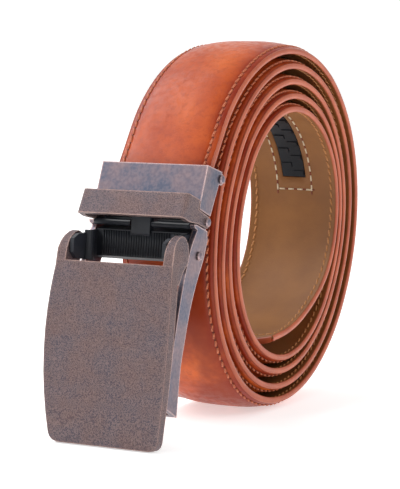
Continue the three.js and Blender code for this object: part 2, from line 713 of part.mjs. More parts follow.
const pieces = [
  ['strap_outer', 'leather', strapOuter()],
  ['strap_lining', 'lining', strapLining()],
  ['ratchet_track', 'track', ratchetTrack()],
  ['clamp_box', 'gunmetal', clampBox()],
  ['clamp_jaw', 'gunmetal', clampJaw()],
  ['jaw_pin', 'gunmetal', pinAt(jaw_pin_at, pin_radius)],
  ['hinge_pin', 'gunmetal', pinAt(hinge_pin_at, pin_radius)],
  ['strap_guide_left', 'black_metal', strapGuide(-1)],
  ['strap_guide_right', 'black_metal', strapGuide(1)],
  ['loop_bar', 'antique_copper', loopBar()],
  ['side_frame', 'gunmetal', sideFrame()],
  ['lever_pin', 'gunmetal', pinAt(lever_pin_at, pin_radius)],
  ['cover', 'antique_copper', cover()],
  ['lever_housing', 'black_metal', leverHousing()],
];

const belt = new THREE.Group();
for (const [name, finish, body] of pieces) {
  const mesh = new THREE.Mesh(geometryOf(body), new THREE.MeshStandardMaterial(finishes[finish]));
  mesh.name = name;
  belt.add(mesh);
}

// The belt stands on the plane Z = 0, with the middle of its footprint at the origin
const extent = new THREE.Box3().setFromObject(belt);
const middle = extent.getCenter(new THREE.Vector3());
belt.position.set(-middle.x, -middle.y, -extent.min.z);

export default belt;
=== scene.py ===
# %% [markdown]
# # A rolled ratchet belt
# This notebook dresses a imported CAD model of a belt. The metal buckle keeps its CAD solids and gets
# finishes. The strap is soft, so its two CAD layers are replaced with a modelled one: leather,
# lining, painted edges and stitches. Everything is in metres, with +Z up.

# %% Load the frame
import math

import bmesh
import bpy
import numpy as np
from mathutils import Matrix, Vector


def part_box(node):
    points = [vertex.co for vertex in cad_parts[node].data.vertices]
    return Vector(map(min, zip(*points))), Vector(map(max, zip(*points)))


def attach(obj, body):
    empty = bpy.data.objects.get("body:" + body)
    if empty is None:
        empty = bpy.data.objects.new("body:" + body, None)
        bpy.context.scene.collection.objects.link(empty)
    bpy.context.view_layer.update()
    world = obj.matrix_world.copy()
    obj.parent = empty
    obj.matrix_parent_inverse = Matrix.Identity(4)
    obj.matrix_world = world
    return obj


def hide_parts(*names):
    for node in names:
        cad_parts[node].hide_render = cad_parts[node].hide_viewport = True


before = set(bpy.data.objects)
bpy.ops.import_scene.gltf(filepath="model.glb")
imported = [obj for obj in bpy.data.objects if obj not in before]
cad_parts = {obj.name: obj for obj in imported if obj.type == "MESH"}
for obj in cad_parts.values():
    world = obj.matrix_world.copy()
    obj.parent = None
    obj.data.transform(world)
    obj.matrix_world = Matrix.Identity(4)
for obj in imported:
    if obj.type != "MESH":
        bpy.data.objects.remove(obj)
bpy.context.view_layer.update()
mm = 0.001
hinge_low, hinge_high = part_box("hinge_pin")
hinge = (hinge_low + hinge_high) / 2
print("hinge pin at", [round(c, 5) for c in hinge])

# %% [markdown]
# ## Camera
# The photograph was taken from the front right, a little above the belt, with a long lens. Camera
# and belt are placed from one another, so the camera's target is measured from the hinge pin.

# %% Camera
target = Vector((0, hinge.y + 32.2 * mm, hinge.z - 11.58 * mm))
azimuth, elevation = math.radians(29.466), math.radians(6.116)
distance = 776.2 * mm
toward = Vector((-math.sin(azimuth) * math.cos(elevation),
                 math.cos(azimuth) * math.cos(elevation), -math.sin(elevation)))
camera = bpy.data.objects.new("camera", bpy.data.cameras.new("camera"))
bpy.context.scene.collection.objects.link(camera)
camera.location = target - toward * distance
camera.rotation_mode = "QUATERNION"
camera.rotation_quaternion = toward.to_track_quat("-Z", "Y")
camera.data.sensor_width = 36
camera.data.lens = 160.27
camera.data.clip_start = 0.01
bpy.context.scene.camera = camera
print("camera", [round(c, 4) for c in camera.location])

# %% [markdown]
# ## The strap's path
# The strap leaves the clamp, goes up over the coil and winds inwards. Its middle line is a smooth
# curve through points on the outer turn and on the turns inside it. A spiral with an even pitch
# would be simpler, but a rolled belt sags and its turns lie tight at the bottom and loose at the
# top. So the table has a row for every 30 degrees: the outer turn's distance from the coil's centre
# and the slack of each turn inside that one.

# %% The coil's measures
strap_width = 36.6 * mm
strap_edge = 2.2 * mm  # thickness at the painted edges
strap_dome = 2.4 * mm  # rise of the padded face in the middle
strap_cup = 1.8 * mm  # rise of the lining in the middle
lining_wall = 1.0 * mm
nest_gap = 0.4 * mm
coil_height = 129.8 * mm
loose_lay = 5 * mm
strap_nest = strap_edge + strap_dome - strap_cup + nest_gap
coil_start, coil_end = 150, -1549  # degrees, from the clamp to the free end
lay_step = 30

coil_lay = [  # outer turn as a share of half the height, then the slack of turns 2 to 5
    (0.974, 1.08, 0.67, 0.33, 0.38),
    (0.991, 0.86, 0.54, 0.41, 0.37),
    (1.000, 0.45, 0.50, 0.42, 0.33),
    (0.983, 0.42, 0.45, 0.26, 0.23),
    (0.926, 0.43, 0.51, 0.04, 0.00),
    (0.863, 0.45, 0.40, 0.00, 0.00),
    (0.843, 0.46, 0.37, 0.00, 0.20),
    (0.881, 0.32, 0.48, 0.00, 1.10),
    (0.949, 0.34, 0.45, 0.24, 1.30),
    (0.980, 0.42, 0.53, 0.53, 0.20),
    (0.928, 0.43, 0.53, 0.60, 0.20),
    (0.858, 0.59, 0.32, 0.50, 0.20),
]
print("turns lie at least", round(strap_nest / mm, 2), "mm apart")


def lay_radii():
    radii = []
    for turn in range(len(coil_lay[0])):
        for outer, *slack in coil_lay:
            inward = sum(strap_nest + share * loose_lay for share in slack[:turn])
            radii.append(outer * coil_height / 2 - inward)
    return np.array(radii)


def coil_points(angles):
    radii = lay_radii()
    place = (coil_start - angles) / lay_step
    before = np.floor(place).astype(int)
    share = place - before
    a, b, c, d = (radii[np.clip(before + k, 0, len(radii) - 1)] for k in (-1, 0, 1, 2))
    smooth = 3 * (b - c) + d - a
    radius = b + share * (c - a + share * (2 * a - 5 * b + 4 * c - d + share * smooth)) / 2
    turn = np.radians(angles)
    return np.stack([radius * np.cos(turn), radius * np.sin(turn)], axis=1)


# %% [markdown]
# ## One curve through all the points
# The strap goes straight through the clamp and bends only above it. A Bezier curve object could
# draw that path, but its handles would need to be placed by hand. A curve that passes through every
# point, with each span weighted by the root of its length, bends evenly where the points are close
# in the clamp and far apart on the coil.

# %% The path and what it measures
clamp_lean = math.radians(30)
down = np.array([-math.sin(clamp_lean), -math.cos(clamp_lean)])
out = np.array([-math.cos(clamp_lean), math.sin(clamp_lean)])
lead = 6.7 * mm
lead_tilt = math.radians(34)
clamp_top = -18.4 * mm
above_clamp = 1.2 * mm
strap_stop = -5.4 * mm
set_back = 1.9 * mm


def centripetal(points, per_span):
    """A smooth curve through the points, with spans weighted by the root of their length."""
    first, last = 2 * points[0] - points[1], 2 * points[-1] - points[-2]
    p = np.vstack([first, points, last])
    share = np.linspace(0, 1, per_span, endpoint=False)[:, None]
    curve = []
    for p0, p1, p2, p3 in zip(p, p[1:], p[2:], p[3:]):
        d0, d1, d2 = (math.sqrt(math.dist(a, b)) for a, b in ((p0, p1), (p1, p2), (p2, p3)))
        t1 = ((p1 - p0) / d0 - (p2 - p0) / (d0 + d1) + (p2 - p1) / d1) * d1
        t2 = ((p2 - p1) / d1 - (p3 - p1) / (d1 + d2) + (p3 - p2) / d2) * d1
        bend = (3 * (p2 - p1) - 2 * t1 - t2) * share ** 2 + (2 * (p1 - p2) + t1 + t2) * share ** 3
        curve.append(p1 + t1 * share + bend)
    return np.vstack([*curve, p[-2]])


coil_first = coil_points(np.array([float(coil_start)]))[0]
mouth = coil_first - lead * np.array([math.sin(lead_tilt), math.cos(lead_tilt)])
hinge_at = mouth - out * set_back - down * (clamp_top - above_clamp)
in_clamp = [hinge_at + out * set_back + down * (clamp_top + share * (strap_stop - clamp_top))
            for share in (1, 0.5, 0)]
steps = round((coil_start - coil_end) / (lay_step / 2))
knots = np.vstack([in_clamp, coil_points(np.linspace(coil_start, coil_end, steps + 1))])
path = centripetal(knots, 16) + np.array([hinge.y, hinge.z]) - hinge_at
reach = np.concatenate([[0], np.cumsum(np.linalg.norm(np.diff(path, axis=0), axis=1))])
strap_length = reach[-1]
heading = np.gradient(path, reach, axis=0)
heading /= np.linalg.norm(heading, axis=1)[:, None]
print("strap length", round(strap_length, 4))


# %% [markdown]
# ## Flat first, then wound
# A belt is cut, padded and sewn flat, and rolled up later. The model does the same: each strip is a
# flat grid, x across the strap, y along it and z its height over the middle line. A UV map keeps
# the flat measures for the materials, and one function then winds the points onto the coil.

# %% Winding
def wind(flat):
    """Flat strap coordinates to the coil. flat is an array of (across, along, height)."""
    along = np.clip(flat[:, 1], 0, strap_length)
    centre = np.stack([np.interp(along, reach, path[:, k]) for k in (0, 1)], axis=1)
    ahead = np.stack([np.interp(along, reach, heading[:, k]) for k in (0, 1)], axis=1)
    ahead /= np.linalg.norm(ahead, axis=1)[:, None]
    outward = np.stack([-ahead[:, 1], ahead[:, 0]], axis=1)
    spare = (flat[:, 1] - along)[:, None]
    side = centre + outward * flat[:, 2:3] + ahead * spare
    return np.column_stack([flat[:, 0], side])


def bulge(across):
    return 1 - np.abs(across / (strap_width / 2)) ** 3


def lining_face(across):
    return -strap_edge / 2 + strap_cup * bulge(across)


def outer_face(across):
    return strap_edge / 2 + strap_dome * bulge(across)


print("padded middle", round((outer_face(0.0) - lining_face(0.0)) / mm, 2), "mm thick")


# %% [markdown]
# ## Helpers for the strap's pieces
# Every strap piece starts as a grid or a tube from a bmesh operator. Its points are read as an
# array, moved with numpy and written back. A grid's flat place is kept as a UV map before it is
# wound.

# %% Mesh helpers
def coordinates(bm):
    return np.array([v.co for v in bm.verts])


def move_to(bm, places):
    for vert, place in zip(bm.verts, places):
        vert.co = place


def grid_on(across, along):
    """A flat grid whose lines lie on the given stops."""
    bm = bmesh.new()
    bmesh.ops.create_grid(bm, x_segments=len(across) - 1, y_segments=len(along) - 1, size=1)
    co = coordinates(bm)
    column = np.rint((co[:, 0] + 1) / 2 * (len(across) - 1)).astype(int)
    row = np.rint((co[:, 1] + 1) / 2 * (len(along) - 1)).astype(int)
    move_to(bm, np.column_stack([np.array(across)[column], np.array(along)[row], 0 * co[:, 0]]))
    return bm


def keep_flat_map(bm):
    layer = bm.loops.layers.uv.new("flat")
    for face in bm.faces:
        for loop in face.loops:
            loop[layer].uv = loop.vert.co.xy


def make_piece(bm, name, material, body):
    bmesh.ops.recalc_face_normals(bm, faces=bm.faces)
    mesh = bpy.data.meshes.new(name)
    bm.to_mesh(mesh)
    bm.free()
    mesh.polygons.foreach_set("use_smooth", [True] * len(mesh.polygons))
    piece = bpy.data.objects.new(name, mesh)
    bpy.context.scene.collection.objects.link(piece)
    mesh.materials.append(material)
    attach(piece, body)
    print(name, len(mesh.polygons), "faces")
    return piece


# %% [markdown]
# ## Finishes
# Leather, lining, paint and metal are all a little cloudy, and the copper and gunmetal are rubbed
# bright on their edges, a colour that is also a painted highlight on edges the CAD solids leave
# sharp. Each material could hold its own copy of those nodes. Node groups are made once instead,
# and give out only masks, so that each material mixes its own colours and heights from them.

# %% Helpers for node trees
def add(tree, kind, place=(0, 0), **settings):
    node = tree.nodes.new(kind)
    node.location = place
    for key, value in settings.items():
        setattr(node, key, value)
    return node


def put(node, **values):
    for key, value in values.items():
        node.inputs[key.replace("_", " ")].default_value = value
    return node


def new_group(name, inputs, outputs):
    group = bpy.data.node_groups.new(name, "ShaderNodeTree")
    for label, kind, default in inputs:
        socket = group.interface.new_socket(label, in_out="INPUT", socket_type=kind)
        if default is not None:
            socket.default_value = default
    for label in outputs:
        group.interface.new_socket(label, in_out="OUTPUT", socket_type="NodeSocketFloat")
    return group, add(group, "NodeGroupInput", (-800, 0)), add(group, "NodeGroupOutput", (800, 0))


def noise(tree, vector, scale, detail=4.0, roughness=0.55, place=(-400, 0)):
    node = put(add(tree, "ShaderNodeTexNoise", place), Detail=detail, Roughness=roughness)
    tree.links.new(vector, node.inputs["Vector"])
    if isinstance(scale, (int, float)):
        node.inputs["Scale"].default_value = scale
    else:
        tree.links.new(scale, node.inputs["Scale"])
    return node.outputs["Fac"]


def ramp(tree, value, low, high, place=(-200, 0)):
    node = put(add(tree, "ShaderNodeMapRange", place, interpolation_type="SMOOTHSTEP"),
               From_Min=low, From_Max=high)
    tree.links.new(value, node.inputs["Value"])
    return node.outputs["Result"]


def math_node(tree, operation, a, b, place=(0, 0)):
    node = add(tree, "ShaderNodeMath", place, operation=operation)
    for socket, value in zip(node.inputs, (a, b)):
        if isinstance(value, (int, float)):
            socket.default_value = value
        else:
            tree.links.new(value, socket)
    return node.outputs[0]


# %% Group: mottle, two sizes of soft clouds
def mottle_group():
    group, given, result = new_group(
        "mottle", [("Vector", "NodeSocketVector", None), ("Large", "NodeSocketFloat", 60.0),
                   ("Small", "NodeSocketFloat", 500.0)], ["Clouds", "Flecks"])
    clouds = noise(group, given.outputs["Vector"], given.outputs["Large"], 5, 0.6)
    flecks = noise(group, given.outputs["Vector"], given.outputs["Small"], 2, 0.5, (-400, -250))
    group.links.new(ramp(group, clouds, 0.3, 0.7), result.inputs["Clouds"])
    group.links.new(ramp(group, flecks, 0.36, 0.64, (-200, -250)), result.inputs["Flecks"])
    return group


mottle = mottle_group()
print(mottle.name, "has", len(mottle.nodes), "nodes")


# %% [markdown]
# ## Worn edges and painted edge highlights
# The plating on the real buckle is thin on its edges, where copper shows through. The same bright
# edge colour is also a painted highlight, for the light that the rounded edges catch. Painting a
# mask by hand would miss edges, so the Bevel node rounds the normal near an edge, and the mask is
# where that differs from the true normal. Noise breaks the line up.

# %% Group: edge wear and painted edge highlight, where the surface turns sharply
wear_and_highlight_reach = 0.9 * mm


def wear_and_highlight_group():
    group, given, result = new_group(
        "edge_wear_and_highlight", [("Vector", "NodeSocketVector", None), ("Break up", "NodeSocketFloat", 900.0)],
        ["Edge"])
    bevel = put(add(group, "ShaderNodeBevel", (-400, 0)), Radius=wear_and_highlight_reach)
    bevel.samples = 6
    true = add(group, "ShaderNodeNewGeometry", (-400, -200))
    turned = add(group, "ShaderNodeVectorMath", (-200, 0), operation="DOT_PRODUCT")
    group.links.new(bevel.outputs["Normal"], turned.inputs[0])
    group.links.new(true.outputs["Normal"], turned.inputs[1])
    sharp = put(add(group, "ShaderNodeMapRange", (0, 0)), From_Min=0.995, From_Max=0.88)
    group.links.new(turned.outputs["Value"], sharp.inputs["Value"])
    patchy = noise(group, given.outputs["Vector"], given.outputs["Break up"], 3, 0.6, (-200, -300))
    worn_and_lit = ramp(group, patchy, 0.15, 0.5, (0, -300))
    group.links.new(math_node(group, "MULTIPLY", sharp.outputs["Result"], worn_and_lit, (400, 0)),
                    result.inputs["Edge"])
    return group


edge_wear_and_highlight = wear_and_highlight_group()
print(edge_wear_and_highlight.name, "has", len(edge_wear_and_highlight.nodes), "nodes")


# %% [markdown]
# ## From groups to materials
# Each finish is one Principled BSDF that is fed by masks. These helpers start a material, place a
# group in it, mix two colours by a mask and turn a height into a bump. The strap's leather, lining
# and paint read its flat UV map, so that they run along it. Thread and the buckle read Object
# coordinates, which need no map.

# %% A material's frame
def new_material(name, roughness, metallic=0.0):
    material = bpy.data.materials.new(name)
    material.use_nodes = True
    tree = material.node_tree
    surface = tree.nodes["Principled BSDF"]
    surface.inputs["Roughness"].default_value = roughness
    surface.inputs["Metallic"].default_value = metallic
    return material, tree, surface


def use_group(tree, group, vector, **values):
    node = add(tree, "ShaderNodeGroup", (-500, 0))
    node.node_tree = group
    tree.links.new(vector, node.inputs["Vector"])
    return put(node, **values)


mix_first, mix_second, mix_result = 6, 7, 2  # the Mix node's colour sockets


def mix(tree, share, first, second, place=(-200, 0)):
    node = add(tree, "ShaderNodeMix", place, data_type="RGBA")
    tree.links.new(share, node.inputs["Factor"])
    for index, value in ((mix_first, first), (mix_second, second)):
        if isinstance(value, tuple):
            node.inputs[index].default_value = (*value, 1)
        else:
            tree.links.new(value, node.inputs[index])
    return node.outputs[mix_result]


def bump(tree, surface, height, strength, distance):
    node = put(add(tree, "ShaderNodeBump", (0, -400)), Strength=strength, Distance=distance)
    tree.links.new(height, node.inputs["Height"])
    tree.links.new(node.outputs["Normal"], surface.inputs["Normal"])


def flat_vector(tree):
    node = add(tree, "ShaderNodeUVMap", (-1000, 0))
    node.uv_map = "flat"
    return node.outputs["UV"]


def object_vector(tree):
    return add(tree, "ShaderNodeTexCoord", (-1000, 0)).outputs["Object"]


# %% [markdown]
# ## Finish of the leather
# The cognac leather is dyed unevenly: bright orange where it is rubbed and red-brown towards the
# stitches. The stretch behind the buckle is darker with painted shade, for the shade under and behind
# the buckle. An image could be painted for it, but masks made from noise on the flat map follow the
# strap round the coil without a seam. Masks that read across or along the strap put the darker dye
# and the painted shade where they belong.

# %% Masks across and along the strap
# where the painted shade behind the buckle lies along the strap
painted_shade_stretch = (0.18, 0.27, 0.38, 0.46)  # metres along the strap: begins, full, full, ends


def burnish(tree, vector):
    """A mask that grows towards the stitches and the painted edges, broken up by soft clouds."""
    split = add(tree, "ShaderNodeSeparateXYZ", (-800, 300))
    tree.links.new(vector, split.inputs[0])
    near = ramp(tree, math_node(tree, "ABSOLUTE", split.outputs["X"], 0.0), 11 * mm, 17 * mm)
    patchy = ramp(tree, noise(tree, vector, 70.0, 3), 0.25, 0.65, (-400, 500))
    return math_node(tree, "MULTIPLY", math_node(tree, "MULTIPLY", near, patchy), 0.95)


def painted_buckle_shade(tree, vector):
    """A cloudy mask of painted shade on the stretch of strap behind the buckle."""
    split = add(tree, "ShaderNodeSeparateXYZ", (-800, 600))
    tree.links.new(vector, split.inputs[0])
    begun = ramp(tree, split.outputs["Y"], painted_shade_stretch[0], painted_shade_stretch[1])
    over = ramp(tree, split.outputs["Y"], painted_shade_stretch[3], painted_shade_stretch[2])
    cloudy = ramp(tree, noise(tree, vector, 45.0, 4, place=(-400, 800)), 0.32, 0.6)
    return math_node(tree, "MULTIPLY", math_node(tree, "MULTIPLY", begun, over), cloudy)


# %% Leather
deep_dye = (0.42, 0.048, 0.006)
light_dye = (0.62, 0.098, 0.010)
rubbed_dye = (0.76, 0.148, 0.014)
# painted shade for the stretch of strap behind the buckle
painted_shade_dye = (0.24, 0.022, 0.003)
stitch_dye = (0.27, 0.020, 0.005)
grain_dye = (0.30, 0.032, 0.005)


def leather_material():
    material, tree, surface = new_material("cognac_leather", 0.38)
    vector = flat_vector(tree)
    clouds = use_group(tree, mottle, vector, Large=42.0, Small=420.0)
    base = mix(tree, clouds.outputs["Clouds"], deep_dye, light_dye)
    glow = ramp(tree, noise(tree, vector, 24.0, 3, 0.5), 0.45, 0.75)
    base = mix(tree, glow, base, rubbed_dye)
    # painted shade: the stretch of strap behind the buckle is darkened
    buckle_shade = math_node(tree, "MULTIPLY", painted_buckle_shade(tree, vector), 0.85)
    base = mix(tree, buckle_shade, base, painted_shade_dye)
    base = mix(tree, burnish(tree, vector), base, stitch_dye)
    grain = ramp(tree, noise(tree, vector, 380.0, 5, 0.7), 0.45, 0.7)
    base = mix(tree, math_node(tree, "MULTIPLY", grain, 0.4), base, grain_dye)
    tree.links.new(base, surface.inputs["Base Color"])
    rough = put(add(tree, "ShaderNodeMapRange"), To_Min=0.3, To_Max=0.46)
    tree.links.new(clouds.outputs["Flecks"], rough.inputs["Value"])
    tree.links.new(rough.outputs["Result"], surface.inputs["Roughness"])
    bump(tree, surface, noise(tree, vector, 1300.0, 4), 0.25, 0.0002)
    surface.inputs["Specular IOR Level"].default_value = 0.28
    surface.inputs["Coat Weight"].default_value = 0.06
    surface.inputs["Coat Roughness"].default_value = 0.25
    return material


leather = leather_material()
print(leather.name, "has", len(leather.node_tree.nodes), "nodes")


# %% [markdown]
# ## Lining, paint and thread
# The lining is smooth tan leather, the edges are sealed with a thick satin paint, and the thread is
# twisted. A few soft clouds are enough for the first two. The threads are so thin that noise finer
# than they are wide stands for the twist, which a modelled cord would show no better.

# %% Lining, paint and thread
def lining_material():
    material, tree, surface = new_material("tan_lining", 0.6)
    vector = flat_vector(tree)
    clouds = use_group(tree, mottle, vector, Large=40.0, Small=1500.0)
    base = mix(tree, clouds.outputs["Clouds"], (0.22, 0.082, 0.016), (0.30, 0.118, 0.024))
    tree.links.new(base, surface.inputs["Base Color"])
    bump(tree, surface, clouds.outputs["Flecks"], 0.15, 0.0001)
    return material


def paint_material():
    material, tree, surface = new_material("edge_paint", 0.35)
    clouds = use_group(tree, mottle, flat_vector(tree), Large=80.0, Small=600.0)
    base = mix(tree, clouds.outputs["Clouds"], (0.40, 0.080, 0.032), (0.52, 0.12, 0.050))
    tree.links.new(base, surface.inputs["Base Color"])
    bump(tree, surface, clouds.outputs["Flecks"], 0.1, 0.0001)
    return material


def thread_material(name, dark, light):
    material, tree, surface = new_material(name, 0.55)
    vector = object_vector(tree)
    base = mix(tree, ramp(tree, noise(tree, vector, 2500.0, 2), 0.35, 0.65), dark, light)
    tree.links.new(base, surface.inputs["Base Color"])
    bump(tree, surface, noise(tree, vector, 5000.0, 1), 0.3, 0.0001)
    return material


lining = lining_material()
edge_paint = paint_material()
tonal_thread = thread_material("tonal_thread", (0.42, 0.085, 0.032), (0.70, 0.22, 0.10))
tan_thread = thread_material("tan_thread", (0.42, 0.16, 0.045), (0.62, 0.29, 0.10))
hole_shade = thread_material("hole_shade", (0.15, 0.022, 0.008), (0.22, 0.034, 0.012))
cream_thread = thread_material("cream_thread", (0.62, 0.50, 0.34), (0.8, 0.7, 0.52))
print("soft finishes:", lining.name, edge_paint.name, tonal_thread.name, cream_thread.name)


# %% [markdown]
# ## Finish of the buckle
# The cover and the bar are hammered antique copper, and the clamp, the rails and the rivets are
# smoother and bluer. Both are dark platings over copper, so one function makes them: clouds of two
# dark tones, copper flecks, copper edges that are also a painted highlight, and a bump whose grain
# is fine and deep on the hammered pieces.

# %% Metals
def metal_material(name, dark, light, edge, roughness, grain, grain_depth, fleck):
    material, tree, surface = new_material(name, roughness, 0.85)
    vector = object_vector(tree)
    clouds = use_group(tree, mottle, vector, Large=90.0, Small=grain)
    base = mix(tree, clouds.outputs["Clouds"], dark, light)
    spots = math_node(tree, "MULTIPLY", clouds.outputs["Flecks"], fleck)
    base = mix(tree, spots, base, edge)
    worn_and_lit = use_group(tree, edge_wear_and_highlight, vector)
    # worn copper edges, which are also a painted highlight on the sharp CAD edges
    base = mix(tree, worn_and_lit.outputs["Edge"], base, edge)
    tree.links.new(base, surface.inputs["Base Color"])
    bump(tree, surface, clouds.outputs["Flecks"], grain_depth, 0.0002)
    return material


antique_copper = metal_material(
    "antique_copper", dark=(0.088, 0.082, 0.107), light=(0.128, 0.087, 0.090),
    edge=(0.50, 0.34, 0.30), roughness=0.48, grain=3000.0, grain_depth=0.8, fleck=0.40)
gunmetal = metal_material(
    "gunmetal", dark=(0.10, 0.115, 0.165), light=(0.225, 0.165, 0.18),
    edge=(0.66, 0.47, 0.45), roughness=0.36, grain=900.0, grain_depth=0.05, fleck=0.10)
print("metals:", antique_copper.name, gunmetal.name)


# %% [markdown]
# ## Black pieces
# The ribbed block, its cheeks and the strap guides are black with a soft gloss. The track in the
# lining is nylon, which looks darker because it reflects less. One function makes both, and a plain
# table then says which CAD node gets which finish.

# %% Black pieces, and which node gets which finish
def black_material(name, colour, roughness, shine=0.5):
    material, tree, surface = new_material(name, roughness)
    surface.inputs["Specular IOR Level"].default_value = shine
    clouds = use_group(tree, mottle, object_vector(tree), Large=150.0, Small=2500.0)
    base = mix(tree, clouds.outputs["Clouds"], colour, tuple(1.6 * c for c in colour))
    tree.links.new(base, surface.inputs["Base Color"])
    bump(tree, surface, clouds.outputs["Flecks"], 0.1, 0.0001)
    return material


black_metal = black_material("black_metal", (0.012, 0.014, 0.019), roughness=0.38)
track_nylon = black_material("track_nylon", (0.003, 0.0035, 0.006), roughness=0.4, shine=0.22)

finish_of = {
    "clamp_box": gunmetal, "clamp_jaw": gunmetal, "jaw_pin": gunmetal, "hinge_pin": gunmetal,
    "lever_pin": gunmetal, "side_frame": gunmetal, "loop_bar": antique_copper,
    "cover": antique_copper, "strap_guide_left": black_metal, "strap_guide_right": black_metal,
    "lever_housing": black_metal, "ratchet_track": track_nylon,
}
for node, material in finish_of.items():
    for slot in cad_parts[node].material_slots:
        slot.material = material
print("finishes on", len(finish_of), "CAD nodes")

# %% [markdown]
# ## Leather
# The padded face is a dome that turns down at its painted edges, with a shallow furrow under each
# row of stitches. A curve with a profile could be swept along the coil, but a flat grid keeps its
# lines where the furrows need them. It gets the dome's height, and an extrusion gives it an
# underside.

# %% Leather strip
stitch_line = 16.0 * mm
furrow_depth, furrow_reach = 0.34 * mm, 0.45 * mm
shoulder_depth, shoulder_start, shoulder_reach = 0.35 * mm, 17.2 * mm, 1.05 * mm
glue_line = 0.05 * mm
half = strap_width / 2
strip_step = 3 * mm
along_stops = np.linspace(0, strap_length, round(strap_length / strip_step) + 1)
right_stops = np.array([0, 3, 6, 9, 12, 14.5, 15.5, 16.0, 16.5, 17.1, 17.6, 18.0, 18.25]) * mm
across_stops = np.concatenate([-right_stops[:0:-1], right_stops])


def leather_strip():
    bm = grid_on(across_stops, along_stops)
    bmesh.ops.extrude_face_region(bm, geom=bm.faces[:])
    half_count = len(bm.verts) // 2
    co = coordinates(bm)
    x = co[:, 0]
    furrow = furrow_depth * np.exp(-((np.abs(x) - stitch_line) / furrow_reach) ** 2)
    past = np.clip((np.abs(x) - shoulder_start) / shoulder_reach, 0, 1)
    shoulder = shoulder_depth * past ** 2
    top = outer_face(x) - furrow - shoulder
    bottom = lining_face(x) + lining_wall + glue_line
    is_top = np.arange(len(co)) >= half_count
    co[:, 2] = np.where(is_top, top, bottom)
    move_to(bm, co)
    keep_flat_map(bm)
    move_to(bm, wind(co))
    return make_piece(bm, "strap_leather", leather, "strap")


strap_leather = leather_strip()
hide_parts("strap_outer")

# %% [markdown]
# ## Lining
# The tan lining is cut away over the notched track, which is glued between lining and leather. A
# Boolean could cut that window, but a grid with lines on the window's edges only has to lose the
# faces between them, and stays even.

# %% Lining strip with the track's window
notch_pitch, notch_count = 6.35 * mm, 24
track_from_tip = 87 * mm
track_end = strap_length - track_from_tip
track_start = track_end - notch_count * notch_pitch
window_slack = 0.3 * mm
window = (track_start - window_slack, track_end + window_slack)
window_half = 5.0 * mm


def lining_strip():
    right = np.array([0, 2.5, 5.0, 8, 11, 13.5, 15.2, 16.6, 17.7, 18.2]) * mm
    across = np.concatenate([-right[:0:-1], right])
    along = np.unique(np.concatenate([along_stops, window]))
    bm = grid_on(across, along)
    gone = [f for f in bm.faces if abs(f.calc_center_median().x) < window_half
            and window[0] < f.calc_center_median().y < window[1]]
    bmesh.ops.delete(bm, geom=gone, context="FACES")
    co = coordinates(bm)
    co[:, 2] = lining_face(co[:, 0])
    move_to(bm, co)
    raised = bmesh.ops.extrude_face_region(bm, geom=bm.faces[:])
    for vert in raised["geom"]:
        if isinstance(vert, bmesh.types.BMVert):
            vert.co.z += lining_wall
    keep_flat_map(bm)
    move_to(bm, wind(coordinates(bm)))
    return make_piece(bm, "strap_backing", lining, "strap")


strap_backing = lining_strip()
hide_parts("strap_lining")


# %% [markdown]
# ## Painted edges
# Paint is laid on the cut edges in several coats, until it stands as a smooth bead that hides where
# leather and lining meet. A bevelled curve could follow the edge. Here a narrow grid is rolled up
# into an oval tube, so that the bead is wound by the same function as the strap under it.

# %% Painted edges
tube_sides = 8
bead_sunk = 0.1 * mm
bead_proud = 0.5 * mm
bead_half_height = 1.12 * mm
tip_proud = 0.45 * mm


def edge_bead(side):
    bm = grid_on(np.arange(tube_sides + 1) * mm, along_stops)
    co = coordinates(bm)
    turn = co[:, 0] / mm * 2 * math.pi / tube_sides
    co[:, 0] = side * (half - bead_sunk + bead_proud * np.cos(turn))
    co[:, 2] = bead_half_height * np.sin(turn)
    move_to(bm, co)
    keep_flat_map(bm)
    move_to(bm, wind(co))
    bmesh.ops.remove_doubles(bm, verts=bm.verts, dist=1e-6)
    name = "edge_paint_right" if side > 0 else "edge_paint_left"
    return make_piece(bm, name, edge_paint, "strap")


def tip_bead():
    """The paint across the strap's free end."""
    bm = grid_on(across_stops[1:-1], np.arange(tube_sides + 1) * mm)
    co = coordinates(bm)
    turn = co[:, 1] / mm * 2 * math.pi / tube_sides
    middle = (outer_face(co[:, 0]) + lining_face(co[:, 0])) / 2
    half_thick = (outer_face(co[:, 0]) - lining_face(co[:, 0])) / 2
    co[:, 1] = strap_length + bead_sunk + tip_proud * np.cos(turn)
    co[:, 2] = middle + half_thick * np.sin(turn)
    move_to(bm, co)
    keep_flat_map(bm)
    move_to(bm, wind(co))
    bmesh.ops.remove_doubles(bm, verts=bm.verts, dist=1e-6)
    return make_piece(bm, "edge_paint_tip", edge_paint, "strap")


for side in (-1, 1):
    edge_bead(side)
tip_bead()


# %% [markdown]
# ## Stitches
# The real stitches are short threads that go down into the strap at the needle's holes. An Array
# and a Curve modifier could repeat one stitch along the coil. But the function that winds the strap
# is there already, so each thread is a thin six-sided tube, half sunk in the flat strap and wound
# with it. A hole is a thicker and shorter tube that lies deeper, between two threads, and is coloured
# dark as painted shade in the needle's hole.

# %% One stitch
def lay_stitch(bm, across, along, face, lift, length, radius, lean=0.0, crosswise=False):
    """Lay one thread or hole on a face of the flat strap, lengthwise or crosswise."""
    made = bmesh.ops.create_cone(bm, cap_ends=True, segments=6, radius1=radius, radius2=radius,
                                 depth=length)
    for vert in made["verts"]:
        wide, high, run = vert.co
        if crosswise:
            vert.co = Vector((across + run, along + wide, face(across + run) + lift + high))
        else:
            vert.co = Vector((across + wide + lean * run, along + run, face(across) + lift + high))


def wind_piece(bm, name, material):
    move_to(bm, wind(coordinates(bm)))
    return make_piece(bm, name, material, "strap")


